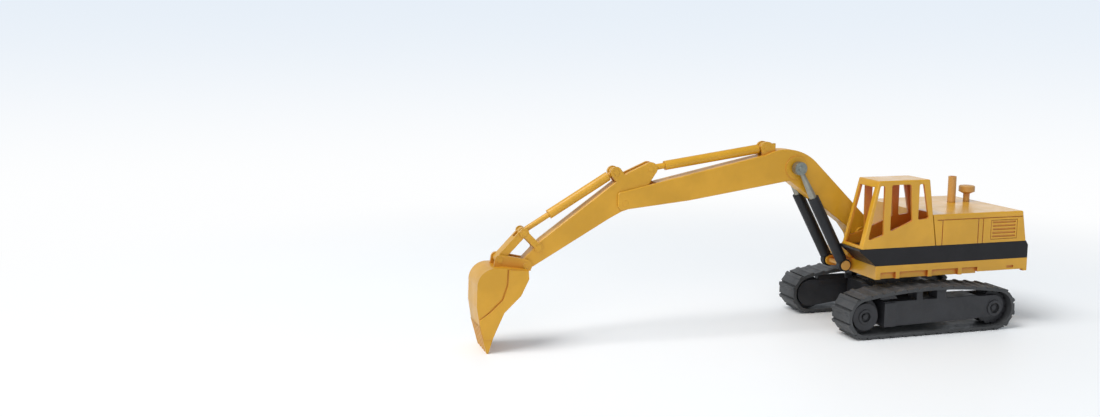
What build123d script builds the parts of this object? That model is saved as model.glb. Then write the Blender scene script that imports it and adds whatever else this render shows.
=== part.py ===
from build123d import *
import math
import os

# A 1:50 toy crawler excavator, in millimetres.
# Origin: the slew axis where it meets the ground. The boom points to -Y, the cab side is +X, up is +Z.

os.makedirs("parts", exist_ok=True)

# ---- driving dimensions -------------------------------------------------------------------------
GAUGE = 50.0  # centre to centre of the tracks
SHOE_WIDTH = 14.5
WHEEL_Y = 32.8  # half of the wheelbase
TRACK_R = 9.8  # wheel axis to the grouser tips, and height of the wheel axes
TRACK_TOP = 22.2  # highest grouser tip of the upper run
SHOES = 32
BAR_H = 0.9  # grouser height above the band
BAND_T = 1.0  # thickness of the flexible band

HOUSE_HALF = 26.5  # half width of everything above the turntable
FRAME_FRONT = -26.7
HOUSE_REAR = 51.9
FRAME_Z0 = 25.4
FRAME_Z1 = 31.4
DECK_Z = 39.3
DECK_NOSE = -35.2
HOOD_FRONT = 3.4  # front of the hood at the deck; higher up it leans forward, like the cab's rear
HOOD_TOP = 53.2
CAB_X0 = 10.0
CAB_TOP = 69.1
CAB_FRONT = -34.2  # at the deck
CAB_REAR = 3.2  # at the deck
ROOF_FRONT = -26.9
ROOF_REAR = -1.3
EDGE_R = 0.6  # rounding of the casting's outer edges

PIN_R = 1.0
RUN = 0.05  # running clearance on a radius
GAP = 0.15  # side gap between moving faces

# Pivots as (y, z)
BOOM_FOOT = (-21.0, 42.0)
BOOM_CYL_BASE = (-31.0, 28.6)
BOOM_CYL_TOP = (-55.0, 73.4)
STICK_PIVOT = (-135.6, 60.4)
STICK_CYL_BASE = (-68.9, 82.3)
STICK_CYL_TOP = (-123.6, 74.7)
BUCKET_CYL_BASE = (-139.4, 73.6)
LINK_TOP = (-180.2, 49.5)
LEVER_PIVOT = (-174.0, 43.0)
LINK_BOTTOM = (-190.8, 38.6)
BUCKET_PIVOT = (-179.7, 35.6)

# Widths of the digging arm, measured from its middle plane
BOOM_HALF = 4.0
STICK_HALF = 3.0
EYE_HALF = 1.35  # cylinder eyes that sit between two ears
EAR_IN = 1.5
CYL_X = 7.0  # middle plane of each boom cylinder
BARREL_R = 2.55
ARM_BARREL_R = 2.05
BUCKET_HALF = 9.1
BOSS_R = 2.9


# ---- shared shapes ------------------------------------------------------------------------------
def finish(part, name):
    """Labels a piece and writes its STEP file."""
    part.label = name
    export_step(part, f"parts/{name}.step")


def plate(points, x0, x1, mode=Mode.ADD):
    """A flat plate with a Y-Z outline, between two x stations."""
    with BuildSketch(Plane.YZ.offset(x0)) as outline:
        with BuildLine():
            Polyline(*points, close=True)
        make_face()
    extrude(outline.sketch, amount=x1 - x0, mode=mode)


def disc(centre, radius, x0, x1, mode=Mode.ADD):
    """A round boss, pin or hole along X."""
    with BuildSketch(Plane.YZ.offset(x0)) as outline:
        with Locations(centre):
            Circle(radius)
    extrude(outline.sketch, amount=x1 - x0, mode=mode)


def bar(a, radius_a, b, radius_b, x0, x1, mode=Mode.ADD):
    """A round-ended bar between two pivots."""
    with BuildSketch(Plane.YZ.offset(x0)) as outline:
        with Locations(a):
            Circle(radius_a)
        with Locations(b):
            Circle(radius_b)
        make_hull()
    extrude(outline.sketch, amount=x1 - x0, mode=mode)


def block(x0, x1, y0, y1, z0, z1, mode=Mode.ADD):
    """A box between two corners."""
    with BuildSketch(Plane.XY.offset(z0)) as outline:
        with Locations(((x0 + x1) / 2, (y0 + y1) / 2)):
            Rectangle(abs(x1 - x0), abs(y1 - y0))
    extrude(outline.sketch, amount=z1 - z0, mode=mode)


def tube_plane(x, a, b, start=0.0):
    """A plane at `start` along the line from pivot a to pivot b, facing b."""
    length = math.dist(a, b)
    direction = ((b[0] - a[0]) / length, (b[1] - a[1]) / length)
    origin = (x, a[0] + direction[0] * start, a[1] + direction[1] * start)
    return Plane(origin=origin, x_dir=(1, 0, 0), z_dir=(0, *direction))


def tube(x, a, b, start, end, radius, mode=Mode.ADD, taper=0.0):
    """A round bar on the line from pivot a towards pivot b, between two distances from a."""
    with BuildSketch(tube_plane(x, a, b, start)) as outline:
        Circle(radius)
    extrude(outline.sketch, amount=end - start, mode=mode, taper=taper)


def headed_pin(name, centre, radius, half_length, head_radius, head_length):
    """A cross pin along X with a round head at each end."""
    with BuildPart() as made:
        disc(centre, radius, -half_length, half_length)
        for end in (-1, 1):
            disc(centre, head_radius, end * half_length, end * (half_length + head_length))
    finish(made.part, name)


# ---- tracks -------------------------------------------------------------------------------------
# The upper run is a shallow arch of radius TOP_R about (0, TOP_Z), tangent to both end arcs.
TOP_Z = (
    TRACK_TOP**2 - 2 * TRACK_TOP * TRACK_R - WHEEL_Y**2
) / (2 * (TRACK_TOP - 2 * TRACK_R))
TOP_R = TRACK_TOP - TOP_Z
TOP_HALF_ANGLE = math.degrees(math.atan2(WHEEL_Y, TRACK_R - TOP_Z))


def run_face(middle, depth):
    """The face inside the closed run at a given depth below the grouser tips."""
    end_sweep = 180 - TOP_HALF_ANGLE
    with BuildSketch(Plane.YZ.offset(middle)) as run:
        with BuildLine():
            Line((-WHEEL_Y, depth), (WHEEL_Y, depth))
            CenterArc((WHEEL_Y, TRACK_R), TRACK_R - depth, -90, end_sweep)
            CenterArc((0, TOP_Z), TOP_R - depth, 90 - TOP_HALF_ANGLE, 2 * TOP_HALF_ANGLE)
            CenterArc((-WHEEL_Y, TRACK_R), TRACK_R - depth, 90 + TOP_HALF_ANGLE, end_sweep)
        make_face()
    return run.sketch


def run_point(distance, depth):
    """(y, z, travel angle) at a distance round the track, measured from the front of the lower run."""
    end_sweep = math.radians(180 - TOP_HALF_ANGLE)
    top_sweep = math.radians(2 * TOP_HALF_ANGLE)
    lengths = [
        2 * WHEEL_Y,
        (TRACK_R - depth) * end_sweep,
        (TOP_R - depth) * top_sweep,
        (TRACK_R - depth) * end_sweep,
    ]
    leg = 0
    while leg < 3 and distance > lengths[leg]:
        distance -= lengths[leg]
        leg += 1
    if leg == 0:
        return distance - WHEEL_Y, depth, 0.0
    centre, radius, first = (
        ((WHEEL_Y, TRACK_R), TRACK_R - depth, -90),
        ((0, TOP_Z), TOP_R - depth, 90 - TOP_HALF_ANGLE),
        ((-WHEEL_Y, TRACK_R), TRACK_R - depth, 90 + TOP_HALF_ANGLE),
    )[leg - 1]
    angle = math.radians(first) + distance / radius
    y = centre[0] + radius * math.cos(angle)
    z = centre[1] + radius * math.sin(angle)
    return y, z, angle + math.pi / 2


def run_length(depth):
    """Length of the closed line at a depth."""
    end_arcs = 2 * (TRACK_R - depth) * math.radians(180 - TOP_HALF_ANGLE)
    top_arc = (TOP_R - depth) * math.radians(2 * TOP_HALF_ANGLE)
    return 2 * WHEEL_Y + end_arcs + top_arc


# One shoe as (along the run, outwards from the band): a raised bar in front of a sloping plate.
SHOE = [
    (-2.7, -0.4),
    (-2.7, 0.7),
    (-2.4, BAR_H),
    (-1.2, BAR_H),
    (-0.6, 0.5),
    (2.5, 0.3),
    (2.5, -0.4),
]


def shoe_outline(index):
    """The Y-Z outline of one shoe in its place on the run."""
    y, z, travel = run_point((index + 0.5) * run_length(BAR_H) / SHOES, BAR_H)
    along = (math.cos(travel), math.sin(travel))
    out = (math.sin(travel), -math.cos(travel))
    return [(y + t * along[0] + n * out[0], z + t * along[1] + n * out[1]) for t, n in SHOE]


def track_belt(name, side):
    """One moulded track: an endless band with all its shoes."""
    middle = side * GAUGE / 2
    with BuildPart() as belt:
        extrude(run_face(middle, BAR_H), amount=SHOE_WIDTH / 2, both=True)
        with BuildSketch(Plane.YZ.offset(middle)):
            for index in range(SHOES):
                with BuildLine():
                    Polyline(*shoe_outline(index), close=True)
                make_face()
        extrude(amount=SHOE_WIDTH / 2, both=True)
        extrude(run_face(middle, BAR_H + BAND_T), amount=SHOE_WIDTH, both=True, mode=Mode.SUBTRACT)
    finish(belt.part, name)


track_belt("left_track_belt", 1)
track_belt("right_track_belt", -1)

# ---- undercarriage ------------------------------------------------------------------------------
BEAM_X0 = 19.2  # inboard face of a side frame
BEAM_X1 = 30.2  # outboard face
FORK_T = 1.7  # thickness of the plates that carry the wheels
BEAM_TOP = 16.0
AXLE_R = 1.2
RIVET_Y = 7.0
RIVET_Z = 12.0
FRONT_AXLE = (-WHEEL_Y, TRACK_R)
REAR_AXLE = (WHEEL_Y, TRACK_R)
HUB_CENTRE = (WHEEL_Y - 0.2, TRACK_R + 1.0)
BAND_UNDER = TRACK_TOP - BAR_H - BAND_T - 0.15


def side_frame(name, side):
    """One side frame: main beam, idler plate, rear fork, track guides and carrier posts."""
    inner, outer = side * BEAM_X0, side * BEAM_X1
    with BuildPart() as frame:
        plate([(-24.0, 4.8), (24.0, 5.6), (24.0, BEAM_TOP), (-24.0, BEAM_TOP)], inner, outer)
        # inboard plate, reaching forward to the idler and back to the drive wheel
        fork = side * (BEAM_X0 + FORK_T)
        bar((-20.0, 10.2), 5.4, FRONT_AXLE, 6.4, inner, fork)
        bar((20.0, 10.8), 5.0, HUB_CENTRE, 5.0, inner, fork)
        # outboard cover of the drive wheel with its raised hub ring
        cover = side * (BEAM_X1 - FORK_T)
        bar((20.0, 10.8), 5.0, HUB_CENTRE, 5.0, cover, outer)
        disc(REAR_AXLE, 3.6, outer, outer + side * 0.5)
        disc(REAR_AXLE, 2.4, outer - side * 0.6, outer + side * 0.5, Mode.SUBTRACT)
        # proud block at the front of the beam
        block(outer, outer + side * 0.6, -24.0, -18.4, 4.8, BEAM_TOP - 0.5)
        # two carrier posts under the upper run
        for y0, y1 in ((-7.7, -4.8), (2.6, 7.2)):
            block(side * 24.0, outer, y0, y1, BEAM_TOP - 1, BAND_UNDER - 0.25)
        # guide behind the idler, held off the beam by a short web
        guide = [(-27.0, 17.6), (-18.2, 17.6), (-19.6, 19.1), (-26.2, 18.6)]
        plate(guide, side * 26.5, side * 31.4)
        block(side * 26.5, side * 28.0, -23.5, -20.0, BEAM_TOP - 1, 18.0)
        # sloping guide on the inboard side
        with BuildSketch(Plane.XZ.offset(14.0)):
            with BuildLine():
                Polyline(
                    (side * 18.4, 13.5),
                    (side * (BEAM_X0 + FORK_T), 13.5),
                    (side * (BEAM_X0 + FORK_T), 18.0),
                    (side * 20.3, 18.0),
                    close=True,
                )
            make_face()
        extrude(amount=14.0)
        # axle holes and rivet holes
        disc(FRONT_AXLE, AXLE_R, inner - side, fork + side, Mode.SUBTRACT)
        disc(REAR_AXLE, AXLE_R, inner - side, outer + side, Mode.SUBTRACT)
        for y in (-RIVET_Y, RIVET_Y):
            disc((y, RIVET_Z), PIN_R, inner - side, inner + side * 3.0, Mode.SUBTRACT)
    finish(frame.part, name)


side_frame("left_side_frame", 1)
side_frame("right_side_frame", -1)

WHEEL_RIM_R = TRACK_R - BAR_H - BAND_T - 0.1
WHEEL_X0 = BEAM_X0 + FORK_T + GAP


def idler_wheel(name, side):
    """Front wheel: a rim inside the belt, a smaller face boss and a raised hub ring."""
    with BuildPart() as wheel:
        disc(FRONT_AXLE, WHEEL_RIM_R, side * WHEEL_X0, side * 27.0)
        disc(FRONT_AXLE, 6.1, side * 27.0, side * 29.8)
        disc(FRONT_AXLE, 3.3, side * 29.8, side * 30.2)
        disc(FRONT_AXLE, 2.3, side * 29.2, side * 30.2, Mode.SUBTRACT)
        disc(FRONT_AXLE, AXLE_R + RUN, side * WHEEL_X0, side * 30.2, Mode.SUBTRACT)
    finish(wheel.part, name)


def drive_wheel(name, side):
    """Rear wheel between the two plates of the fork, with shallow drive notches."""
    x0, x1 = side * WHEEL_X0, side * (BEAM_X1 - FORK_T - GAP)
    with BuildPart() as wheel:
        disc(REAR_AXLE, WHEEL_RIM_R, x0, x1)
        with BuildSketch(Plane.YZ.offset(x0)):
            with Locations(REAR_AXLE):
                with PolarLocations(WHEEL_RIM_R + 0.2, 12):
                    Circle(0.9)
        extrude(amount=x1 - x0, mode=Mode.SUBTRACT)
        disc(REAR_AXLE, AXLE_R + RUN, x0, x1, Mode.SUBTRACT)
    finish(wheel.part, name)


idler_wheel("left_idler_wheel", 1)
idler_wheel("right_idler_wheel", -1)
drive_wheel("left_drive_wheel", 1)
drive_wheel("right_drive_wheel", -1)

with BuildPart() as wheel_axles:
    for side in (1, -1):
        disc(FRONT_AXLE, AXLE_R, side * BEAM_X0, side * 29.9)
        disc(REAR_AXLE, AXLE_R, side * BEAM_X0, side * (BEAM_X1 - 0.2))
finish(wheel_axles.part, "wheel_axles")

RING_R = 12.0
SHAFT_R = 3.0
with BuildPart() as centre_frame:
    with BuildSketch(Plane.XZ.offset(-13)):
        with BuildLine():
            Polyline(
                (-BEAM_X0, 8.5),
                (-BEAM_X0, 15),
                (-13, 18.5),
                (13, 18.5),
                (BEAM_X0, 15),
                (BEAM_X0, 8.5),
                close=True,
            )
        make_face()
    extrude(amount=26)
    block(-12, 12, -17, 17, 9.5, 18.0)
    with BuildSketch(Plane.XY.offset(18.0)):
        Circle(RING_R)
    extrude(amount=FRAME_Z0 - 0.5 - 18.0)
    with BuildSketch(Plane.XY.offset(6.0)):
        Circle(SHAFT_R)
    extrude(amount=30, mode=Mode.SUBTRACT)
    for side in (1, -1):
        for y in (-RIVET_Y, RIVET_Y):
            disc((y, RIVET_Z), PIN_R, side * 16.5, side * (BEAM_X0 + 1), Mode.SUBTRACT)
finish(centre_frame.part, "centre_frame")

with BuildPart() as side_frame_rivets:
    for side in (1, -1):
        for y in (-RIVET_Y, RIVET_Y):
            disc((y, RIVET_Z), PIN_R, side * 16.6, side * (BEAM_X0 + 2.8))
finish(side_frame_rivets.part, "side_frame_rivets")

with BuildPart() as slew_pivot:
    with BuildSketch(Plane.XY.offset(7.5)):
        Circle(SHAFT_R + 1.6)
    extrude(amount=1.0)
    with BuildSketch(Plane.XY.offset(8.5)):
        Circle(SHAFT_R)
    extrude(amount=FRAME_Z1 + 0.7 - 8.5)
    with BuildSketch(Plane.XY.offset(FRAME_Z1 + 0.7)):
        Circle(SHAFT_R + 1.6)
    extrude(amount=1.0)
finish(slew_pivot.part, "slew_pivot")

with BuildPart() as slew_washer:
    with BuildSketch(Plane.XY.offset(FRAME_Z0 - 0.45)):
        Circle(SHAFT_R + 4)
        Circle(SHAFT_R + RUN, mode=Mode.SUBTRACT)
    extrude(amount=0.4)
finish(slew_washer.part, "slew_washer")

# ---- revolving frame ----------------------------------------------------------------------------
FLANGE_Z = 28.4  # underside of the flange along the sides
WEB_INSET = 1.3
CHEEK_IN = BOOM_HALF + GAP
CHEEK_OUT = CHEEK_IN + 1.45
FOOT_EYE_HALF = 1.4
LUG_IN = 4.4
LUG_OUT = CYL_X - FOOT_EYE_HALF - GAP
TAIL_Z = FRAME_Z0 + 0.9  # underside of the frame behind the last gusset
# (x, y, height of the face that the head sits against)
SCREWS = [(20.0, 40.0, TAIL_Z), (-20.0, 40.0, TAIL_Z), (20.0, -12.0, FRAME_Z0), (-20.0, 12.0, FRAME_Z0)]

with BuildPart() as lower_frame:
    with BuildSketch(Plane.XY.offset(FLANGE_Z)):
        with BuildLine():
            Polyline(
                (HOUSE_HALF, FRAME_FRONT),
                (HOUSE_HALF, HOUSE_REAR),
                (-HOUSE_HALF, HOUSE_REAR),
                (-HOUSE_HALF, -19.5),
                (-20.0, FRAME_FRONT),
                close=True,
            )
        make_face()
    extrude(amount=FRAME_Z1 - FLANGE_Z)
    # inset web under the flange, full depth at the front and shallower behind the last gusset
    web = HOUSE_HALF - WEB_INSET
    block(-web, web, -19.0, 25.5, FRAME_Z0, FLANGE_Z)
    block(-HOUSE_HALF, HOUSE_HALF, 25.5, HOUSE_REAR, TAIL_Z, FLANGE_Z)
    block(-19.5, HOUSE_HALF, FRAME_FRONT, -24.2, FRAME_Z0, FLANGE_Z)
    block(-19.5, web, -24.2, -19.0, FRAME_Z0, FLANGE_Z)
    # gussets, and the small tabs at the rear corners
    for side in (1, -1):
        for y in (-15.5, 0.8, 16.4):
            block(side * web, side * HOUSE_HALF, y - 1.0, y + 1.0, FRAME_Z0, FLANGE_Z)
        block(side * (HOUSE_HALF - 2), side * HOUSE_HALF, 49.8, HOUSE_REAR, FRAME_Z0, TAIL_Z)
        block(side * (HOUSE_HALF - 0.5), side * HOUSE_HALF, 41.0, 44.6, 27.2, 28.3, Mode.SUBTRACT)
    # cheeks that hold the boom foot, tied together by a cross tube at the front
    for side in (1, -1):
        x0, x1 = side * CHEEK_IN, side * CHEEK_OUT
        bar(BOOM_FOOT, 3.4, (-18.0, 34.5), 4.4, x0, x1)
        foot = [(-27.2, FRAME_Z1), (-27.2, 33.2), (-24.4, 37.0), (-13.0, 36.0), (-9.0, FRAME_Z1)]
        plate(foot, x0, x1)
    disc((-26.4, 33.3), 2.1, -CHEEK_OUT - 0.2, CHEEK_OUT + 0.2)
    # nose lugs for the feet of the boom cylinders
    for side in (1, -1):
        bar(BOOM_CYL_BASE, 2.3, (-26.0, 28.3), 2.6, side * LUG_IN, side * LUG_OUT)
    # bores
    disc(BOOM_FOOT, PIN_R, -CHEEK_OUT, CHEEK_OUT, Mode.SUBTRACT)
    disc(BOOM_CYL_BASE, PIN_R, -LUG_OUT, LUG_OUT, Mode.SUBTRACT)
    with BuildSketch(Plane.XY.offset(FRAME_Z0)):
        Circle(SHAFT_R + RUN)
        with Locations(*[(x, y) for x, y, _ in SCREWS]):
            Circle(PIN_R)
    extrude(amount=FRAME_Z1 - FRAME_Z0, mode=Mode.SUBTRACT)
finish(lower_frame.part, "lower_frame")

headed_pin("boom_foot_pin", BOOM_FOOT, PIN_R, CHEEK_OUT, 1.7, 0.5)
headed_pin("cylinder_foot_pin", BOOM_CYL_BASE, PIN_R, CYL_X + FOOT_EYE_HALF + 0.1, 2.2, 0.6)

with BuildPart() as body_screws:
    for x, y, seat in SCREWS:
        with BuildSketch(Plane.XY.offset(seat - 0.8)):
            with Locations((x, y)):
                Circle(2.0)
        extrude(amount=0.8)
        with BuildSketch(Plane.XY.offset(seat)):
            with Locations((x, y)):
                Circle(PIN_R)
        extrude(amount=FRAME_Z1 + 1.5 - seat)
finish(body_screws.part, "body_screws")

# ---- black deck ---------------------------------------------------------------------------------
WELL_X1 = CAB_X0  # left edge of the well that the boom foot works in
DECK_WALL = 1.6

with BuildPart() as deck:
    # left part, under the cab, with its front face raked back to the frame
    rake = [
        (HOUSE_REAR, FRAME_Z1),
        (HOUSE_REAR, DECK_Z - 2.0),
        (HOUSE_REAR - 1.2, DECK_Z),
        (DECK_NOSE, DECK_Z),
        (DECK_NOSE + 0.3, DECK_Z - 0.9),
        (FRAME_FRONT, FRAME_Z1),
    ]
    plate(rake, WELL_X1, HOUSE_HALF)
    # right part, under the hood only
    plate(
        [
            (HOUSE_REAR, FRAME_Z1),
            (HOUSE_REAR, DECK_Z - 2.0),
            (HOUSE_REAR - 1.2, DECK_Z),
            (HOOD_FRONT, DECK_Z),
            (HOOD_FRONT, FRAME_Z1),
        ],
        -HOUSE_HALF,
        WELL_X1,
    )
    # hollow underside
    inside = DECK_Z - DECK_WALL
    block(WELL_X1 + 2, HOUSE_HALF - DECK_WALL, -24.0, 49.0, FRAME_Z1, inside, Mode.SUBTRACT)
    block(-HOUSE_HALF + DECK_WALL, WELL_X1 + 3, HOOD_FRONT + 2, 49.0, FRAME_Z1, inside, Mode.SUBTRACT)
    # room for the head of the slew pivot
    with BuildSketch(Plane.XY.offset(FRAME_Z1)):
        Circle(SHAFT_R + 2.0)
    extrude(amount=3.0, mode=Mode.SUBTRACT)
finish(deck.part, "deck")

# ---- hood ---------------------------------------------------------------------------------------
HOOD_WALL = 1.2
LIP_Z = 50.7
GROOVE = 0.35
LOUVRES = 5

HOOD_BACK = 50.7  # rear face of the hood at the deck
HOOD_FRONT_TOP = CAB_REAR - (CAB_REAR - ROOF_REAR) * (HOOD_TOP - DECK_Z) / (CAB_TOP - DECK_Z) + GAP
HOOD_BACK_TOP = 48.4

with BuildPart() as hood:
    plate(
        [(HOOD_FRONT, DECK_Z), (HOOD_BACK, DECK_Z), (HOOD_BACK_TOP, HOOD_TOP), (HOOD_FRONT_TOP, HOOD_TOP)],
        -HOUSE_HALF,
        HOUSE_HALF,
    )
    fillet([e for e in hood.edges() if e.center().Z > DECK_Z + 1 and e.center().Y > 10], radius=EDGE_R)
    block(
        -HOUSE_HALF + HOOD_WALL,
        HOUSE_HALF - HOOD_WALL,
        HOOD_FRONT + HOOD_WALL,
        46.8,
        DECK_Z,
        LIP_Z,
        Mode.SUBTRACT,
    )
    # door seams, the long groove under the top and the framed louvres, on both sides
    for side in (1, -1):
        face, deep = side * HOUSE_HALF, side * (HOUSE_HALF - GROOVE)
        for y in (6.2, 24.8, 27.3):
            block(deep, face, y - 0.2, y + 0.2, DECK_Z, LIP_Z, Mode.SUBTRACT)
        block(deep, face, HOOD_FRONT, 48.0, LIP_Z - 0.2, LIP_Z + 0.2, Mode.SUBTRACT)
        for row in range(LOUVRES):
            z = 41.7 + 1.6 * row
            block(deep, face, 32.4, 44.4, z, z + 0.8, Mode.SUBTRACT)
        for y in (31.4, 45.2):
            block(deep, face, y, y + 0.25, 40.7, 49.6, Mode.SUBTRACT)
        for z in (40.7, 49.35):
            block(deep, face, 31.4, 45.4, z, z + 0.25, Mode.SUBTRACT)
finish(hood.part, "hood")

# closed tool box on the open right side, against the hood
with BuildPart() as tool_box:
    block(-HOUSE_HALF, -16.0, -9.0, HOOD_FRONT, FRAME_Z1, 38.6)
    chamfer(tool_box.edges().group_by(Axis.Z)[-1], length=0.6)
    block(-HOUSE_HALF, -HOUSE_HALF + GROOVE, -7.6, 2.0, 32.6, 37.2, Mode.SUBTRACT)
finish(tool_box.part, "tool_box")

STACK = (-6.0, 33.4)
STACK_R = 1.9
STACK_TOP = 65.7
with BuildPart() as exhaust_stack:
    with BuildSketch(Plane.XY.offset(HOOD_TOP)):
        with Locations(STACK):
            Circle(STACK_R)
    extrude(amount=STACK_TOP - HOOD_TOP)
    with BuildSketch(Plane.XY.offset(STACK_TOP)):
        with Locations(STACK):
            Circle(STACK_R - 0.6)
    extrude(amount=-3.0, mode=Mode.SUBTRACT)
finish(exhaust_stack.part, "exhaust_stack")

CLEANER = (-6.4, 42.0)
CLEANER_STEM_R = 1.5
CLEANER_R = 3.7
with BuildPart() as air_precleaner:
    with BuildSketch(Plane.XZ.offset(-CLEANER[1])):
        with BuildLine():
            Polyline(
                (CLEANER[0], HOOD_TOP),
                (CLEANER[0] + CLEANER_STEM_R, HOOD_TOP),
                (CLEANER[0] + CLEANER_STEM_R, 57.0),
                (CLEANER[0] + CLEANER_R, 58.1),
                (CLEANER[0] + CLEANER_R, 60.5),
                (CLEANER[0] + CLEANER_R - 0.4, 60.9),
                (CLEANER[0], 61.3),
                close=True,
            )
        make_face()
    revolve(axis=Axis((CLEANER[0], CLEANER[1], 0), (0, 0, 1)))
finish(air_precleaner.part, "air_precleaner")

# ---- cab ----------------------------------------------------------------------------------------
CAB_WALL = 1.1
ROOF_T = 1.8

WINDOW_R = 0.8  # rounding of the window corners
FRONT_WINDOW = [(-31.2, 43.0), (-26.1, 66.9), (-23.9, 67.0), (-23.6, 45.2)]
DOOR_WINDOW = [(-20.4, 46.5), (-20.4, 67.2), (-10.8, 67.2), (-9.5, 51.0)]
REAR_WINDOW = [(-6.6, 51.2), (-6.6, 67.2), (-4.4, 67.2), (-1.2, 51.8)]

with BuildPart() as cab:
    plate(
        [(CAB_FRONT, DECK_Z), (ROOF_FRONT, CAB_TOP), (ROOF_REAR, CAB_TOP), (CAB_REAR, DECK_Z)],
        CAB_X0,
        HOUSE_HALF,
    )
    fillet([edge for edge in cab.edges() if edge.center().Z > DECK_Z + 1], radius=EDGE_R)
    # room inside, open at the floor
    plate(
        [
            (CAB_FRONT + CAB_WALL, DECK_Z),
            (ROOF_FRONT + CAB_WALL, CAB_TOP - ROOF_T),
            (ROOF_REAR - CAB_WALL, CAB_TOP - ROOF_T),
            (CAB_REAR - CAB_WALL, DECK_Z),
        ],
        CAB_X0 + CAB_WALL,
        HOUSE_HALF - CAB_WALL,
        Mode.SUBTRACT,
    )
    # side windows, cut through both walls
    for window in (FRONT_WINDOW, DOOR_WINDOW, REAR_WINDOW):
        with BuildSketch(Plane.YZ.offset(CAB_X0 - 1)) as opening:
            with BuildLine():
                Polyline(*window, close=True)
            make_face()
            fillet(opening.vertices(), radius=WINDOW_R)
        extrude(amount=HOUSE_HALF - CAB_X0 + 2, mode=Mode.SUBTRACT)
    # front opening from the floor to the roof rail
    block(CAB_X0 + 2.2, HOUSE_HALF - 2.4, CAB_FRONT - 1, -22.5, DECK_Z + 1.2, 66.2, Mode.SUBTRACT)
    # rear window above the hood
    block(CAB_X0 + 2.2, HOUSE_HALF - 2.2, -4.5, CAB_REAR + 1, HOOD_TOP + 1.0, 66.8, Mode.SUBTRACT)
finish(cab.part, "cab")

# ---- boom ---------------------------------------------------------------------------------------
CROWN = (-57.0, 81.4)
FORK_DEPTH = -121.0  # how far back the stick's slot runs
TOP_BOSS_R = 5.2
ARM_EDGE = 0.3  # chamfer along the outer edges of the boom and the stick


def soften_rims(part, size):
    """Chamfers the outline of both side faces."""
    sides = part.faces().filter_by(Axis.X).sort_by(Axis.X)
    for face in (sides[0], sides[-1]):
        chamfer(face.outer_wire().edges(), length=size)


with BuildPart() as boom:
    with BuildSketch(Plane.YZ):
        with BuildLine():
            Polyline(
                (-45.2, 75.8),
                (-18.4, 49.4),
                (-17.1, 43.0),
                (-21.0, 38.2),
                (-24.0, 39.6),
                (-29.3, 46.6),
                (-58.0, 67.6),
                (-106.0, 60.5),
                (-137.4, 57.4),
                (-138.9, 59.0),
                (-138.9, 64.2),
                (-138.2, 65.1),
                (-70.0, 79.4),
            )
            ThreePointArc((-70.0, 79.4), CROWN, (-45.2, 75.8))
        make_face()
        with Locations(BOOM_FOOT):
            Circle(4.0)
    extrude(amount=BOOM_HALF, both=True)
    soften_rims(boom, ARM_EDGE)
    # fork for the stick
    block(-STICK_HALF - GAP, STICK_HALF + GAP, -142, FORK_DEPTH, 55, 70, Mode.SUBTRACT)
    # side bosses for the top pin of the boom cylinders
    disc(BOOM_CYL_TOP, TOP_BOSS_R, -BOOM_HALF - 0.4, BOOM_HALF + 0.4)
    # ears for the foot of the stick cylinder, with a hollow for its eye between them
    disc(STICK_CYL_BASE, BOSS_R, -EAR_IN, EAR_IN, Mode.SUBTRACT)
    for side in (1, -1):
        x0, x1 = side * EAR_IN, side * (EAR_IN + 1.3)
        bar(STICK_CYL_BASE, BOSS_R, (-67.6, 77.5), BOSS_R, x0, x1)
        # the ears are squared off towards the cab
        plate([(-68.0, 78.5), (-64.9, 79.0), (-64.9, 84.4), (-66.6, 84.4), (-68.0, 82.0)], x0, x1)
    # bores
    disc(BOOM_FOOT, PIN_R + RUN, -BOOM_HALF, BOOM_HALF, Mode.SUBTRACT)
    disc(BOOM_CYL_TOP, PIN_R, -BOOM_HALF - 1, BOOM_HALF + 1, Mode.SUBTRACT)
    disc(STICK_PIVOT, PIN_R, -BOOM_HALF, BOOM_HALF, Mode.SUBTRACT)
    disc(STICK_CYL_BASE, PIN_R, -EAR_IN - 2, EAR_IN + 2, Mode.SUBTRACT)
finish(boom.part, "boom")

# ---- boom cylinders -----------------------------------------------------------------------------
ROD_CLEAR = 1.3  # radial room round the top pin, because the linkage is open there
ROD_R = 1.7
ROD_TAPER = 3.0  # degrees; the visible rod narrows towards its eye
BARREL_END = 35.6
ROD_START = 12.0
BOOM_CYL_LENGTH = math.dist(BOOM_CYL_BASE, BOOM_CYL_TOP)


def boom_barrel(name, side):
    """Black cylinder barrel with an eye at its foot."""
    x = side * CYL_X
    with BuildPart() as barrel:
        disc(BOOM_CYL_BASE, 3.0, x - FOOT_EYE_HALF, x + FOOT_EYE_HALF)
        tube(x, BOOM_CYL_BASE, BOOM_CYL_TOP, 2.8, BARREL_END, BARREL_R)
        tube(x, BOOM_CYL_BASE, BOOM_CYL_TOP, 4.5, BARREL_END + 1, ROD_R + RUN, Mode.SUBTRACT)
        disc(BOOM_CYL_BASE, PIN_R + RUN, x - BARREL_R - 1, x + BARREL_R + 1, Mode.SUBTRACT)
    finish(barrel.part, name)


def boom_rod(name, side):
    """Bare metal rod, swelling towards the barrel, with an eye at the top."""
    x = side * CYL_X
    with BuildPart() as rod:
        tube(x, BOOM_CYL_BASE, BOOM_CYL_TOP, ROD_START, BARREL_END, ROD_R)
        tube(x, BOOM_CYL_BASE, BOOM_CYL_TOP, BARREL_END, BOOM_CYL_LENGTH - 2.4, ROD_R, taper=ROD_TAPER)
        disc(BOOM_CYL_TOP, 2.95, x - 1.5, x + 1.5)
        disc(BOOM_CYL_TOP, PIN_R + ROD_CLEAR, x - 2, x + 2, Mode.SUBTRACT)
    finish(rod.part, name)


boom_barrel("left_boom_barrel", 1)
boom_barrel("right_boom_barrel", -1)
boom_rod("left_boom_rod", 1)
boom_rod("right_boom_rod", -1)

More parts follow.
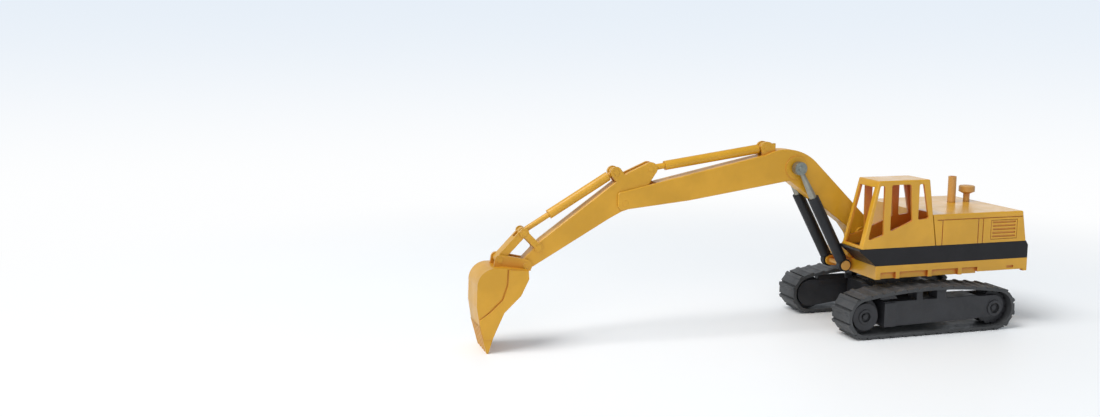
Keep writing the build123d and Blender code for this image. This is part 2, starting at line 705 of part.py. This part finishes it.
with BuildPart() as boom_cylinder_top_pin:
    disc(BOOM_CYL_TOP, PIN_R, -CYL_X - 1.6, CYL_X + 1.6)
    for side in (1, -1):
        disc(BOOM_CYL_TOP, 2.75, side * (CYL_X + 1.6), side * (CYL_X + 1.9))
        disc(BOOM_CYL_TOP, 1.25, side * (CYL_X + 1.9), side * (CYL_X + 2.4))
finish(boom_cylinder_top_pin.part, "boom_cylinder_top_pin")

# ---- stick --------------------------------------------------------------------------------------
STICK_TIP_R = 2.4
BUCKET_FOOT_R = 2.5  # ears at the foot of the bucket cylinder

with BuildPart() as stick:
    plate(
        [
            (-139.6, 69.6),
            (-172.6, 46.0),
            (-181.3, 37.4),
            (-178.5, 33.5),
            (-142.6, 53.8),
            (-137.0, 56.6),
            (-131.6, 58.2),
            (-126.0, 65.6),
            (-121.0, 73.4),
            (-122.6, 77.2),
            (-125.0, 77.3),
            (-134.4, 73.3),
            (-136.2, 72.2),
        ],
        -STICK_HALF,
        STICK_HALF,
    )
    soften_rims(stick, ARM_EDGE)
    bar(BUCKET_CYL_BASE, BUCKET_FOOT_R, (-136.8, 70.2), BUCKET_FOOT_R, -STICK_HALF, STICK_HALF)
    disc(STICK_CYL_TOP, BOSS_R, -STICK_HALF, STICK_HALF)
    disc(BUCKET_PIVOT, STICK_TIP_R, -STICK_HALF, STICK_HALF)
    # slot between the ears for the stick cylinder
    slot = [(-112, 62), (-112, 80), (-143, 80), (-134.0, 71.4), (-128.4, 66.4), (-123.0, 66.4)]
    plate(slot, -EAR_IN, EAR_IN, Mode.SUBTRACT)
    # slot for the foot of the bucket cylinder
    disc(BUCKET_CYL_BASE, BUCKET_FOOT_R + 1.4, -EAR_IN, EAR_IN, Mode.SUBTRACT)
    # bores
    disc(STICK_PIVOT, PIN_R + RUN, -STICK_HALF, STICK_HALF, Mode.SUBTRACT)
    disc(BUCKET_CYL_BASE, PIN_R, -STICK_HALF, STICK_HALF, Mode.SUBTRACT)
    disc(STICK_CYL_TOP, PIN_R, -STICK_HALF, STICK_HALF, Mode.SUBTRACT)
    disc(LEVER_PIVOT, PIN_R, -STICK_HALF, STICK_HALF, Mode.SUBTRACT)
    disc(BUCKET_PIVOT, PIN_R + RUN, -STICK_HALF, STICK_HALF, Mode.SUBTRACT)
finish(stick.part, "stick")

PEEN_R = 1.3  # peened pin ends on the arm
PEEN_T = 0.15
headed_pin("stick_pin", STICK_PIVOT, PIN_R, BOOM_HALF, PEEN_R, PEEN_T)
headed_pin("bucket_cylinder_foot_pin", BUCKET_CYL_BASE, PIN_R, STICK_HALF, PEEN_R, PEEN_T)
headed_pin("stick_cylinder_foot_pin", STICK_CYL_BASE, PIN_R, EAR_IN + 1.3, PEEN_R, PEEN_T)

# The rod end floats between the ears, so its pin is two short studs, one in each ear.
with BuildPart() as stick_rod_studs:
    for side in (1, -1):
        disc(STICK_CYL_TOP, PIN_R, side * EAR_IN, side * STICK_HALF)
        disc(STICK_CYL_TOP, PEEN_R, side * STICK_HALF, side * (STICK_HALF + PEEN_T))
finish(stick_rod_studs.part, "stick_rod_studs")


# ---- stick and bucket cylinders -----------------------------------------------------------------
def arm_barrel(name, foot, top, end, rod_radius, foot_radius):
    """Yellow cylinder barrel with a foot eye that sits between two ears."""
    with BuildPart() as barrel:
        disc(foot, foot_radius, -EYE_HALF, EYE_HALF)
        tube(0, foot, top, 3.4, end, ARM_BARREL_R)
        tube(0, foot, top, 1.5, 4.0, EYE_HALF - 0.1)
        tube(0, foot, top, 6.0, end + 1, rod_radius + RUN, Mode.SUBTRACT)
        disc(foot, PIN_R + RUN, -EYE_HALF, EYE_HALF, Mode.SUBTRACT)
    finish(barrel.part, name)


def arm_rod(name, foot, top, start, radius, end_radius):
    """Rod of a stick or bucket cylinder, ending in a round eye between two ears."""
    with BuildPart() as rod:
        tube(0, foot, top, start, math.dist(foot, top) - 1.0, radius)
        disc(top, end_radius, -EYE_HALF, EYE_HALF)
    finish(rod.part, name)


arm_barrel("stick_barrel", STICK_CYL_BASE, STICK_CYL_TOP, 48.0, 1.3, BOSS_R - 0.3)
arm_rod("stick_rod", STICK_CYL_BASE, STICK_CYL_TOP, 10.0, 1.3, 2.1)
arm_barrel("bucket_barrel", BUCKET_CYL_BASE, LINK_TOP, 34.0, 1.2, BUCKET_FOOT_R - 0.3)
arm_rod("bucket_rod", BUCKET_CYL_BASE, LINK_TOP, 12.0, 1.2, 1.9)

# ---- bucket linkage -----------------------------------------------------------------------------
LEVER_IN = STICK_HALF + GAP
LEVER_OUT = LEVER_IN + 0.95
LEVER_SKIN = 0.35  # metal left outside the blind holes at the lever's top end
LINK_HALF = STICK_HALF - 0.05
STUD_R = 0.7
OPEN_ROOM = 0.9  # radial room round the link's top studs, because the linkage is open there
LEVER_END_R = STUD_R + OPEN_ROOM + 0.4
LEVER_WAIST_R = 1.35

# The lever is a pair of matching side bars.
with BuildPart() as lever:
    for side in (1, -1):
        x0, x1 = side * LEVER_IN, side * LEVER_OUT
        bar(LEVER_PIVOT, LEVER_WAIST_R, LINK_TOP, LEVER_WAIST_R, x0, x1)
        disc(LEVER_PIVOT, 1.9, x0, x1)
        disc(LINK_TOP, LEVER_END_R, x0, x1)
        disc(LINK_TOP, PEEN_R - 0.1, x1, x1 + side * PEEN_T)
        disc(LEVER_PIVOT, PIN_R + RUN, x0, x1, Mode.SUBTRACT)
        disc(LINK_TOP, STUD_R + OPEN_ROOM, x0, x1 - side * LEVER_SKIN, Mode.SUBTRACT)
finish(lever.part, "lever")
headed_pin("lever_pin", LEVER_PIVOT, PIN_R, LEVER_OUT + 0.1, PEEN_R, PEEN_T)

with BuildPart() as link:
    bar(LINK_TOP, 1.65, LINK_BOTTOM, 1.6, -LINK_HALF, LINK_HALF)
    # room for the rod end between the top ears
    bar(LINK_TOP, 4.2, (-184.6, 56.0), 4.2, -EAR_IN, EAR_IN, Mode.SUBTRACT)
    disc(LINK_TOP, STUD_R, -LINK_HALF, LINK_HALF, Mode.SUBTRACT)
    disc(LINK_BOTTOM, PIN_R + RUN, -LINK_HALF, LINK_HALF, Mode.SUBTRACT)
finish(link.part, "link")

with BuildPart() as link_studs:
    for side in (1, -1):
        disc(LINK_TOP, STUD_R, side * EAR_IN, side * (LEVER_OUT - LEVER_SKIN - 0.05))
finish(link_studs.part, "link_studs")

# ---- bucket -------------------------------------------------------------------------------------
SHEET = 1.0
TEETH = 5
TOOTH_W = 2.1
LIP_Z0 = 6.2
LUG_EDGE = LEVER_IN + 1.2  # outer face of the lugs

PLATE_T = 0.45  # extra thickness of the cutting plates on both sides
# front edge of each side, from the tip up to the lugs
SIDE_EDGE = [
    (-195.4, LIP_Z0),
    (-192.1, 13.3),
    (-190.3, 17.1),
    (-183.1, 23.9),
    (-179.6, 30.9),
    (-179.8, 34.4),
]

with BuildPart() as bucket:
    with BuildSketch(Plane.YZ):
        with BuildLine():
            Polyline(
                (-201.6, 28.0),
                (-201.9, 20.0),
                (-200.7, 11.6),
                (-199.1, LIP_Z0),
                *SIDE_EDGE,
                (-189.9, 36.0),
                (-194.6, 36.0),
            )
            ThreePointArc((-194.6, 36.0), (-199.6, 33.6), (-201.6, 28.0))
        make_face()
    extrude(amount=BUCKET_HALF, both=True)
    # the scoop, open towards the machine
    with BuildSketch(Plane.YZ):
        with BuildLine():
            Polyline(
                (-200.6, 28.0),
                (-200.9, 20.0),
                (-199.6, 10.8),
                (-198.1, 5.5),
                (-170.0, 5.5),
                (-170.0, 33.2),
                (-179.8, 33.2),
                (-189.9, 35.0),
                (-194.6, 35.0),
            )
            ThreePointArc((-194.6, 35.0), (-198.9, 32.9), (-200.6, 28.0))
        make_face()
    extrude(amount=BUCKET_HALF - SHEET, both=True, mode=Mode.SUBTRACT)
    # thicker cutting plates along the front edges of both sides
    crease = [(-188.2, 35.2), (-188.6, 28.9), (-190.8, 22.6), (-196.3, 17.5), (-200.9, 14.6)]
    for side in (1, -1):
        outline = [*crease, (-200.6, 11.6), (-199.1, LIP_Z0), *SIDE_EDGE]
        plate(outline, side * BUCKET_HALF, side * (BUCKET_HALF + PLATE_T))
        # groove along the rear edge of the plate
        groove = [*crease, *[(y - 0.45, z + 0.3) for y, z in reversed(crease[:-1])]]
        plate(groove, side * (BUCKET_HALF - 0.3), side * (BUCKET_HALF + 1), Mode.SUBTRACT)
    # room for the stick's round tip, then lugs for the stick and the link
    disc(BUCKET_PIVOT, STICK_TIP_R + 0.3, -LUG_EDGE - 0.5, LUG_EDGE + 0.5, Mode.SUBTRACT)
    for side in (1, -1):
        x0, x1 = side * LEVER_IN, side * LUG_EDGE
        bar(LINK_BOTTOM, 2.2, BUCKET_PIVOT, 2.7, x0, x1)
        plate([(-193.6, 35.4), (-193.0, 38.6), (-177.4, 36.0), (-177.6, 33.4)], x0, x1)
        disc(LINK_BOTTOM, PIN_R, x0, x1, Mode.SUBTRACT)
        disc(BUCKET_PIVOT, PIN_R, x0, x1, Mode.SUBTRACT)
    # teeth
    tooth = [(-200.9, 11.6), (-197.9, 0.0), (-197.2, 0.0), (-194.8, 7.4), (-194.8, 8.6), (-199.6, 9.4)]
    for index in range(TEETH):
        x = (index - (TEETH - 1) / 2) * (2 * BUCKET_HALF - TOOTH_W) / (TEETH - 1)
        plate(tooth, x - TOOTH_W / 2, x + TOOTH_W / 2)
finish(bucket.part, "bucket")

headed_pin("bucket_pin", BUCKET_PIVOT, PIN_R, LUG_EDGE, PEEN_R, PEEN_T)
headed_pin("link_bottom_pin", LINK_BOTTOM, PIN_R, LUG_EDGE, PEEN_R, PEEN_T)
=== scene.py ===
import math

import bpy
from mathutils import Matrix, Vector

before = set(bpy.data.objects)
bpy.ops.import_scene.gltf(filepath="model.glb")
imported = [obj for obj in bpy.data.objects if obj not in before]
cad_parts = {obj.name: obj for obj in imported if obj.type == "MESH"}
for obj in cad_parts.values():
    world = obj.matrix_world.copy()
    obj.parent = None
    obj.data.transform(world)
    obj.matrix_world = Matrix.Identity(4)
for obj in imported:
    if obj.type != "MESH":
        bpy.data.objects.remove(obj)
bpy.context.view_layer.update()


# ---- node helpers --------------------------------------------------------------------------------
class Graph:
    """Builds the node tree of a material or of the world: g.add("TexNoise", Scale=3) returns the node."""

    def __init__(self, owner, output="OutputMaterial"):
        owner.use_nodes = True
        self.owner = owner
        self.nodes = owner.node_tree.nodes
        self.links = owner.node_tree.links
        self.nodes.clear()
        self.out = self.nodes.new("ShaderNode" + output)

    def add(self, kind, props=None, **inputs):
        node = self.nodes.new("ShaderNode" + kind)
        for key, value in (props or {}).items():
            setattr(node, key, value)
        for key, value in inputs.items():
            self.set(node, key.replace("_", " "), value)
        return node

    def set(self, node, key, value):
        socket = node.inputs[int(key)] if key.isdigit() else node.inputs[key]
        if isinstance(value, bpy.types.NodeSocket):
            self.links.new(value, socket)
        elif isinstance(value, tuple) and len(value) == 3 and socket.type == "RGBA":
            socket.default_value = (*value, 1.0)
        else:
            socket.default_value = value

    def math(self, operation, a, b=0.0):
        node = self.add("Math", {"operation": operation})
        self.set(node, "0", a)
        self.set(node, "1", b)
        return node.outputs[0]

    def ramp(self, value, low, high, to_low=0.0, to_high=1.0):
        """A smooth step from to_low at low to to_high at high."""
        node = self.add("MapRange", {"interpolation_type": "SMOOTHSTEP"})
        for key, number in zip(("1", "2", "3", "4"), (low, high, to_low, to_high)):
            self.set(node, key, number)
        self.set(node, "0", value)
        return node.outputs[0]

    def mix(self, factor, a, b):
        node = self.add("Mix", {"data_type": "RGBA"})
        self.set(node, "0", factor)
        self.set(node, "6", a)
        self.set(node, "7", b)
        return node.outputs[2]

    def layer(self, base, colour, mask, amount):
        """Lays a colour over the base where the mask is 1, with its strength held to amount."""
        return self.mix(self.math("MULTIPLY", mask, amount), base, colour)

    def blend_shaders(self, factor, first, second):
        """Ends the tree with a mix of two shader nodes."""
        node = self.add("MixShader")
        self.links.new(factor, node.inputs[0])
        self.links.new(first.outputs[0], node.inputs[1])
        self.links.new(second.outputs[0], node.inputs[2])
        self.links.new(node.outputs[0], self.out.inputs[0])

    def noise(self, scale, detail=3.0, rough=0.55, vector=None, distortion=0.0):
        node = self.add("TexNoise", Scale=scale, Detail=detail, Roughness=rough, Distortion=distortion)
        self.set(node, "Vector", vector or self.point)
        return node.outputs[0]

    @property
    def point(self):
        """Object coordinates, in metres, so that the texture moves with its body."""
        if not hasattr(self, "_point"):
            self._point = self.add("TexCoord").outputs["Object"]
        return self._point

    def stretched(self, x, y, z):
        """Object coordinates scaled differently along each axis."""
        return self.add("Mapping", Vector=self.point, Scale=(x, y, z)).outputs[0]

    def geometry(self, name):
        return self.add("NewGeometry").outputs[name]

    def height_of(self, vector):
        return self.add("SeparateXYZ", Vector=vector).outputs["Z"]

    def edge(self, radius):
        """0 on flat faces, 1 on convex or concave edges, and the softened normal."""
        soft = self.add("Bevel", {"samples": 6}, Radius=radius).outputs[0]
        true = self.geometry("Normal")
        dot = self.add("VectorMath", {"operation": "DOT_PRODUCT"})
        self.links.new(soft, dot.inputs[0])
        self.links.new(true, dot.inputs[1])
        return self.ramp(dot.outputs["Value"], 0.995, 0.80), soft

    def hollow(self, distance, own=False):
        """1 in corners and gaps, 0 on open faces. With own, only the piece itself closes a gap."""
        node = self.add("AmbientOcclusion", {"samples": 6, "only_local": own}, Distance=distance)
        open_part, shut_part = (0.88, 0.56) if own else (0.85, 0.35)
        return self.ramp(node.outputs["AO"], open_part, shut_part)

    def upward(self):
        """1 on faces that look up, where dust lies."""
        return self.ramp(self.height_of(self.geometry("Normal")), 0.25, 0.95)

    def bump(self, height, strength, distance, normal):
        node = self.add("Bump", Height=height, Strength=strength, Distance=distance, Normal=normal)
        return node.outputs[0]

    def surface(self, **inputs):
        shader = self.add("BsdfPrincipled", **inputs)
        self.links.new(shader.outputs[0], self.out.inputs[0])
        return self.owner


def scaled(colour, factor, plus=0.0):
    """A colour times one factor, or times one factor for each channel."""
    factors = factor if isinstance(factor, tuple) else (factor, factor, factor)
    return tuple(min(1.0, c * f + plus) for c, f in zip(colour, factors))


# ---- materials -----------------------------------------------------------------------------------
# Lengths are in metres, and a noise scale is in features per metre.
PAINT_EDGE = 0.00028  # rounding of painted edges
PLASTIC_EDGE = 0.00022
METAL_EDGE = 0.00018
GRAIN_HEIGHT = 0.00012
DRAW_LINE_HEIGHT = 0.00006
SHELL_REACH = 0.030  # how far the test looks that tells the inside of a shell from its outside
PAINT_GAP = 0.002  # how far the painted shade reaches out of a painted corner
PLASTIC_GAP = 0.003


def paint(name, colour, worn, rough=0.34, coat=0.28, peel=0.25, corner_shade=0.5, inside_shade=0.9):
    """Thick toy paint over die-cast metal: mottled, thin on edges, with painted shade in corners and
    painted red-brown shade and bounce light inside shells.
    """
    g = Graph(bpy.data.materials.new(name))
    cloud = g.noise(55, detail=4)
    speck = g.noise(900, detail=2)
    edge, soft = g.edge(PAINT_EDGE)
    base = g.mix(g.ramp(cloud, 0.32, 0.68), scaled(colour, 0.92), scaled(colour, 1.05, plus=0.004))
    shut = g.hollow(SHELL_REACH, own=True)
    # painted red-brown shade and bounce light on the inside faces of a shell
    base = g.layer(base, scaled(colour, (0.92, 0.34, 0.8)), shut, inside_shade)
    # painted shade in corners and gaps, darker and redder
    base = g.layer(base, scaled(colour, (0.42, 0.28, 0.3)), g.hollow(PAINT_GAP), corner_shade)
    thin = g.math("MULTIPLY", edge, g.ramp(g.noise(260, detail=4, rough=0.7), 0.42, 0.66))
    base = g.layer(base, worn, thin, 0.55)
    fleck = g.math("MULTIPLY", g.ramp(speck, 0.70, 0.76), g.ramp(cloud, 0.5, 0.7))
    base = g.layer(base, scaled(colour, 0.5), fleck, 0.35)
    uneven = g.ramp(g.noise(140, detail=5, rough=0.65), 0.3, 0.7, rough - 0.05, rough + 0.08)
    roughness = g.math("ADD", uneven, g.math("MULTIPLY", thin, 0.12))
    waves = g.math("MULTIPLY", g.noise(420, detail=2), 0.7)
    grain = g.math("MULTIPLY", g.noise(1700, detail=2), 0.3)
    return g.surface(
        Base_Color=base,
        Roughness=roughness,
        Normal=g.bump(g.math("ADD", waves, grain), peel, GRAIN_HEIGHT, soft),
        Coat_Weight=g.math("MULTIPLY", g.math("SUBTRACT", 1.0, shut), coat),
        Coat_Roughness=0.16,
        IOR=1.5,
    )


def dark_plastic(name, colour, dust, rough, dust_amount, scuff, grain=900, shine=0.5):
    """Moulded black plastic or rubber: fine grain, dust on top faces, pale scuffs along the edges,
    painted shade in gaps.
    """
    g = Graph(bpy.data.materials.new(name))
    edge, soft = g.edge(PLASTIC_EDGE)
    cloud = g.noise(80, detail=4, rough=0.6)
    base = g.mix(g.ramp(cloud, 0.3, 0.7), scaled(colour, 0.8), scaled(colour, 1.25))
    settled = g.math("MULTIPLY", g.upward(), g.ramp(g.noise(210, detail=5, rough=0.7), 0.28, 0.75))
    base = g.layer(base, dust, settled, dust_amount)
    rub = g.math("MULTIPLY", edge, g.ramp(g.noise(330, detail=4, rough=0.7), 0.38, 0.7))
    base = g.layer(base, dust, rub, scuff)
    # painted shade in gaps and corners
    base = g.layer(base, scaled(colour, 0.3), g.hollow(PLASTIC_GAP), 0.6)
    return g.surface(
        Base_Color=base,
        Roughness=g.ramp(g.noise(170, detail=5, rough=0.65), 0.3, 0.7, rough - 0.08, rough + 0.1),
        Normal=g.bump(g.noise(grain, detail=3, rough=0.6), 0.3, GRAIN_HEIGHT, soft),
        IOR=1.48,
        Specular_IOR_Level=shine,
    )


def bare_metal(name, colour, stretch, rough=0.36):
    """Dull zinc or steel with fine draw lines along one axis and a little tarnish."""
    g = Graph(bpy.data.materials.new(name))
    edge, soft = g.edge(METAL_EDGE)
    lines = g.noise(1.0, detail=4, rough=0.7, vector=g.stretched(*stretch))
    tarnish = g.ramp(g.noise(240, detail=5, rough=0.7, distortion=0.4), 0.36, 0.72)
    base = g.mix(g.ramp(lines, 0.3, 0.7), scaled(colour, 0.8), scaled(colour, 1.15))
    base = g.layer(base, scaled(colour, 0.45), tarnish, 0.4)
    base = g.layer(base, scaled(colour, 1.5), edge, 0.4)
    return g.surface(
        Base_Color=base,
        Metallic=0.85,
        Roughness=g.ramp(lines, 0.25, 0.75, rough - 0.08, rough + 0.14),
        Normal=g.bump(lines, 0.2, DRAW_LINE_HEIGHT, soft),
    )


YELLOW = (0.64, 0.325, 0.014)
ARM_YELLOW = (0.635, 0.320, 0.013)
WORN_YELLOW = (0.74, 0.47, 0.14)
ORANGE = (0.58, 0.30, 0.07)
WORN_ORANGE = (0.58, 0.42, 0.20)
LENGTHWISE = (2600, 120, 120)
EVEN = (900, 900, 900)

yellow_paint = paint("yellow_paint", YELLOW, WORN_YELLOW)
yellow_arm = paint(
    "yellow_arm_paint", ARM_YELLOW, WORN_YELLOW, rough=0.40, coat=0.08, peel=0.35, corner_shade=0.2, inside_shade=0.35
)
yellow_small = paint("yellow_small_parts", ORANGE, WORN_ORANGE, rough=0.42, coat=0.15, peel=0.3)
deck_black = dark_plastic(
    "deck_black",
    colour=(0.006, 0.0052, 0.0068),
    dust=(0.05, 0.05, 0.053),
    rough=0.34,
    dust_amount=0.2,
    scuff=0.3,
    shine=0.36,
)
barrel_black = dark_plastic(
    "barrel_black",
    colour=(0.009, 0.010, 0.013),
    dust=(0.10, 0.10, 0.11),
    rough=0.44,
    dust_amount=0.2,
    scuff=0.5,
    shine=0.4,
)
frame_black = dark_plastic(
    "frame_black",
    colour=(0.022, 0.0225, 0.026),
    dust=(0.08, 0.08, 0.083),
    rough=0.46,
    dust_amount=0.35,
    scuff=0.4,
)
track_rubber = dark_plastic(
    "track_rubber",
    colour=(0.044, 0.0455, 0.048),
    dust=(0.19, 0.19, 0.193),
    rough=0.55,
    dust_amount=0.3,
    scuff=0.6,
    grain=1400,
)
rod_metal = bare_metal("rod_metal", (0.33, 0.32, 0.27), LENGTHWISE)
pin_metal = bare_metal("pin_metal", (0.30, 0.32, 0.29), EVEN, rough=0.4)

LOOKS = {
    yellow_paint: ["lower_frame", "hood", "cab", "tool_box"],
    yellow_arm: [
        "boom", "stick", "bucket", "stick_barrel", "bucket_barrel", "stick_rod", "bucket_rod", "lever",
        "link", "stick_pin", "stick_cylinder_foot_pin", "bucket_cylinder_foot_pin", "stick_rod_studs",
        "bucket_pin", "link_bottom_pin", "lever_pin", "link_studs",
    ],
    yellow_small: ["exhaust_stack", "air_precleaner", "boom_foot_pin", "cylinder_foot_pin"],
    deck_black: ["deck"],
    barrel_black: ["left_boom_barrel", "right_boom_barrel"],
    frame_black: [
        "centre_frame", "left_side_frame", "right_side_frame", "slew_washer", "left_idler_wheel",
        "right_idler_wheel", "left_drive_wheel", "right_drive_wheel", "wheel_axles",
    ],
    track_rubber: ["left_track_belt", "right_track_belt"],
    rod_metal: ["left_boom_rod", "right_boom_rod"],
    pin_metal: ["boom_cylinder_top_pin", "side_frame_rivets", "slew_pivot", "body_screws"],
}
for material, names in LOOKS.items():
    for name in names:
        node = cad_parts[name]
        node.data.materials.clear()
        node.data.materials.append(material)

# ---- floor and backdrop --------------------------------------------------------------------------
BEHIND = (-0.81, 0.58, 0.0)  # level direction from the camera past the toy
SKYLIGHT = (0.87, 0.935, 1.0)
ABOVE_STRENGTH = 0.41
BEHIND_STRENGTH = 0.95  # added to the light from above, low behind the toy
BELOW_STRENGTH = 0.9
FLOOR_RADIUS = 0.65
FLOOR_Z = -0.00002
FLOOR_SIDES = 64
FADE_CENTRE = (0.0, -0.07, 0.0)  # middle of the toy, seen from above
FADE_START = 0.17
FADE_END = 0.46
FLOOR_DIM = (0.945, 0.958, 0.97)
FLOOR_BRIGHT = (0.96, 0.967, 0.975)


def backdrop(g, height):
    """What the camera sees behind the toy: white below eye level, pale blue above."""
    return g.mix(g.ramp(height, -0.13, 0.05), (0.99, 0.995, 1.0), (0.80, 0.865, 0.94))


def floor_material():
    """Pale and matt near the toy. Far from it, the floor takes the backdrop's own colour."""
    g = Graph(bpy.data.materials.new("floor"))
    reach = g.add("VectorMath", {"operation": "DISTANCE"})
    g.links.new(g.geometry("Position"), reach.inputs[0])
    reach.inputs[1].default_value = FADE_CENTRE
    fade = g.ramp(reach.outputs["Value"], FADE_START, FADE_END)
    colour = g.mix(g.ramp(g.noise(6, detail=2), 0.3, 0.7), FLOOR_DIM, FLOOR_BRIGHT)
    solid = g.add("BsdfPrincipled", Base_Color=colour, Roughness=0.55, Specular_IOR_Level=0.3)
    view_height = g.math("MULTIPLY", g.height_of(g.geometry("Incoming")), -1.0)
    direct = g.add("LightPath").outputs["Is Camera Ray"]
    shade = g.mix(direct, scaled(SKYLIGHT, BELOW_STRENGTH), backdrop(g, view_height))
    g.blend_shaders(fade, solid, g.add("Emission", Color=shade))
    return g.owner


def fading_floor():
    """A round pale floor without a horizon."""
    turns = [2 * math.pi * i / FLOOR_SIDES for i in range(FLOOR_SIDES)]
    ring = [(FLOOR_RADIUS * math.cos(turn), FLOOR_RADIUS * math.sin(turn), FLOOR_Z) for turn in turns]
    mesh = bpy.data.meshes.new("floor")
    mesh.from_pydata(ring, [], [list(range(FLOOR_SIDES))])
    mesh.materials.append(floor_material())
    floor = bpy.data.objects.new("floor", mesh)
    bpy.context.scene.collection.objects.link(floor)


def background():
    """The backdrop for the camera. As light: dim above, pale below, bright behind the toy."""
    world = bpy.data.worlds.new("studio")
    bpy.context.scene.world = world
    g = Graph(world, "OutputWorld")
    direction = g.add("TexCoord").outputs["Generated"]
    height = g.height_of(direction)
    facing = g.add("VectorMath", {"operation": "DOT_PRODUCT"})
    g.links.new(direction, facing.inputs[0])
    facing.inputs[1].default_value = BEHIND
    low = g.ramp(height, 0.55, 0.10)
    behind = g.math("MULTIPLY", g.ramp(facing.outputs["Value"], 0.1, 0.9), low)
    above = g.math("ADD", ABOVE_STRENGTH, g.math("MULTIPLY", behind, BEHIND_STRENGTH))
    below = g.ramp(height, 0.0, -0.06)
    upper_part = g.math("MULTIPLY", above, g.math("SUBTRACT", 1.0, below))
    strength = g.math("ADD", upper_part, g.math("MULTIPLY", below, BELOW_STRENGTH))
    light = g.add("Background", Color=SKYLIGHT, Strength=strength)
    shown = g.add("Background", Color=backdrop(g, height))
    g.blend_shaders(g.add("LightPath").outputs["Is Camera Ray"], light, shown)


def soft_light(name, at, target, size, watts, colour):
    """A large rectangular light facing the target."""
    data = bpy.data.lights.new(name, "AREA")
    data.shape = "RECTANGLE"
    data.size, data.size_y = size
    data.energy = watts
    data.color = colour
    lamp = bpy.data.objects.new(name, data)
    bpy.context.scene.collection.objects.link(lamp)
    lamp.location = at
    lamp.rotation_mode = "QUATERNION"
    lamp.rotation_quaternion = (Vector(target) - Vector(at)).to_track_quat("-Z", "Y")
    lamp.visible_camera = False


fading_floor()
background()
soft_light(
    "key",
    at=(0.24, -1.00, 1.65),
    target=(0, -0.04, 0.03),
    size=(1.0, 1.0),
    watts=25.5,
    colour=(1.0, 0.99, 0.975),
)
soft_light(
    "fill",
    at=(1.36, -0.70, 0.50),
    target=(0, -0.03, 0.04),
    size=(1.1, 0.8),
    watts=6.0,
    colour=(1.0, 1.0, 1.0),
)

# ---- camera --------------------------------------------------------------------------------------
CAMERA_AT = (0.44342, -0.29366, 0.1288)
AZIMUTH, ELEVATION, ROLL = (math.radians(degrees) for degrees in (74.18, 8.63, 0.12))
SENSOR_WIDTH = 36.0
LENS = 36.0

back = Vector((
    math.sin(AZIMUTH) * math.cos(ELEVATION),
    -math.cos(AZIMUTH) * math.cos(ELEVATION),
    math.sin(ELEVATION),
))
right = Vector((0, 0, 1)).cross(back).normalized()
up = back.cross(right)
rolled_right = right * math.cos(ROLL) + up * math.sin(ROLL)
rolled_up = up * math.cos(ROLL) - right * math.sin(ROLL)
turned = Matrix((rolled_right, rolled_up, back)).transposed().to_4x4()

camera = bpy.data.objects.new("camera", bpy.data.cameras.new("camera"))
bpy.context.scene.collection.objects.link(camera)
camera.data.sensor_width = SENSOR_WIDTH
camera.data.lens = LENS
camera.data.clip_start = 0.02
camera.data.clip_end = 20.0
camera.matrix_world = Matrix.Translation(CAMERA_AT) @ turned
bpy.context.scene.camera = camera
bpy.context.scene.view_settings.view_transform = "Standard"

bpy.context.view_layer.update()
